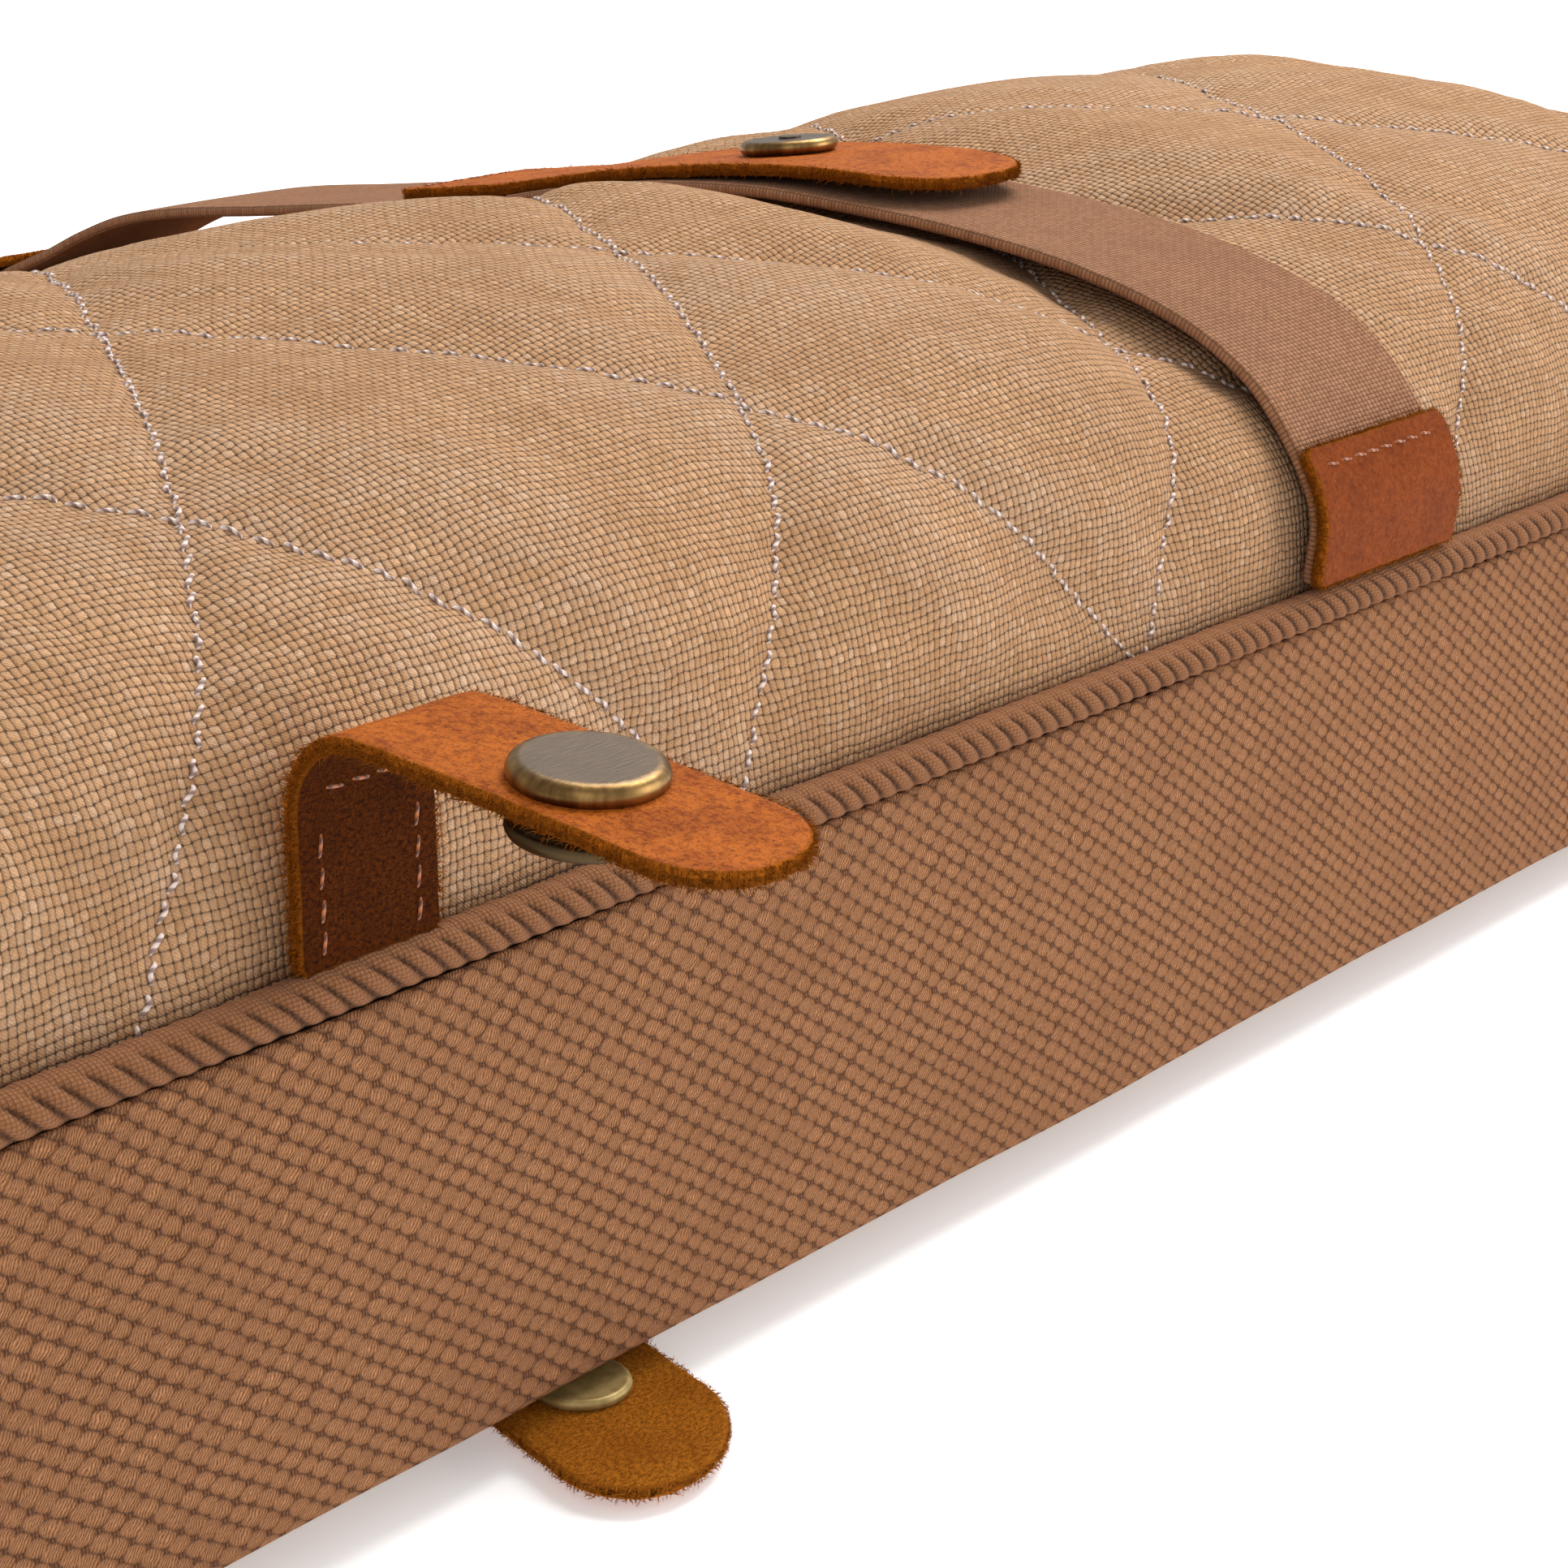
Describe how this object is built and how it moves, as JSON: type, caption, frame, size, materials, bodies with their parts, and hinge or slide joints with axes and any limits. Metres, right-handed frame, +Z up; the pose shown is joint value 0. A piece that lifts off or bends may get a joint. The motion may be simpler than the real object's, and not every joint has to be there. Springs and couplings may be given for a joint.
{
  "type": "laptop sleeve",
  "caption": "Stuffed, quilted canvas laptop sleeve with a webbing gusset, an open padded mouth, leather snap tabs and a strap with a leather snap tongue.",
  "frame": {"origin": "on the resting plane, under the middle of the sleeve lying on its back", "axes": "+X from the open mouth to the closed bottom end, +Y across the sleeve to the far side, +Z up out of the front panel"},
  "size_m": [0.416, 0.3784, 0.1043],
  "materials": {
    "canvas": "washed quilted cotton canvas, matt",
    "padding": "soft closed-cell foam",
    "lining": "plain woven lining",
    "gusset_webbing": "coarse basket-weave cotton webbing",
    "piping_cloth": "ribbed cotton over cord",
    "strap_webbing": "fine-ribbed cotton webbing",
    "binding_tape": "folded cotton tape",
    "leather": "waxed pull-up leather, rough on the flesh side",
    "brass": "antique brass, brushed",
    "brass_dark": "antique brass, dark inside the socket"
  },
  "bodies": {
    "sleeve": {"front_canvas": "canvas", "back_canvas": "canvas", "front_padding": "padding", "back_padding": "padding", "front_lining": "lining", "back_lining": "lining", "gusset_lining": "lining", "gusset_band": "gusset_webbing", "front_piping": "piping_cloth", "back_piping": "piping_cloth", "strap_near_half": "strap_webbing", "strap_far_half": "strap_webbing", "front_mouth_binding": "binding_tape", "back_mouth_binding": "binding_tape", "gusset_mouth_tapes": "binding_tape", "near_strap_patch": "leather", "far_strap_patch": "leather", "tongue_sewn_end": "leather", "strap_stud": "brass", "near_front_tab_base": "leather", "near_back_tab_base": "leather", "near_back_tab_cap": "brass", "near_back_tab_post": "brass", "near_back_tab_stud": "brass", "far_front_tab_base": "leather", "far_back_tab_base": "leather", "far_back_tab_cap": "brass", "far_back_tab_post": "brass", "far_back_tab_stud": "brass"},
    "tongue": {"tongue_leather": "leather", "tongue_cap": "brass", "tongue_post": "brass", "tongue_socket": "brass_dark"},
    "near_front_tab": {"near_front_tab_leather": "leather", "near_front_tab_cap": "brass", "near_front_tab_post": "brass", "near_front_tab_socket": "brass_dark"},
    "near_back_flap": {"near_back_tab_leather": "leather"},
    "far_front_tab": {"far_front_tab_leather": "leather", "far_front_tab_cap": "brass", "far_front_tab_post": "brass", "far_front_tab_socket": "brass_dark"},
    "far_back_flap": {"far_back_tab_leather": "leather"}
  },
  "joints": [
    {"name": "tongue_lift", "type": "hinge", "parent": "sleeve", "child": "tongue", "pos_m": [0.037, 0.0192, 0.0931], "axis": [-1, 0, 0], "range_deg": [0, 115]},
    {"name": "near_front_tab_swing", "type": "hinge", "parent": "sleeve", "child": "near_front_tab", "pos_m": [-0.1394, -0.1483, 0.0793], "axis": [-1, 0, 0], "range_deg": [-78, 80]},
    {"name": "near_back_flap_swing", "type": "hinge", "parent": "sleeve", "child": "near_back_flap", "pos_m": [-0.1175, -0.1522, 0.0022], "axis": [-1, 0, 0], "range_deg": [0, 85]},
    {"name": "far_front_tab_swing", "type": "hinge", "parent": "sleeve", "child": "far_front_tab", "pos_m": [-0.1394, 0.1483, 0.0793], "axis": [1, 0, 0], "range_deg": [-78, 80]},
    {"name": "far_back_flap_swing", "type": "hinge", "parent": "sleeve", "child": "far_back_flap", "pos_m": [-0.1175, 0.1522, 0.0022], "axis": [1, 0, 0], "range_deg": [0, 85]}
  ]
}
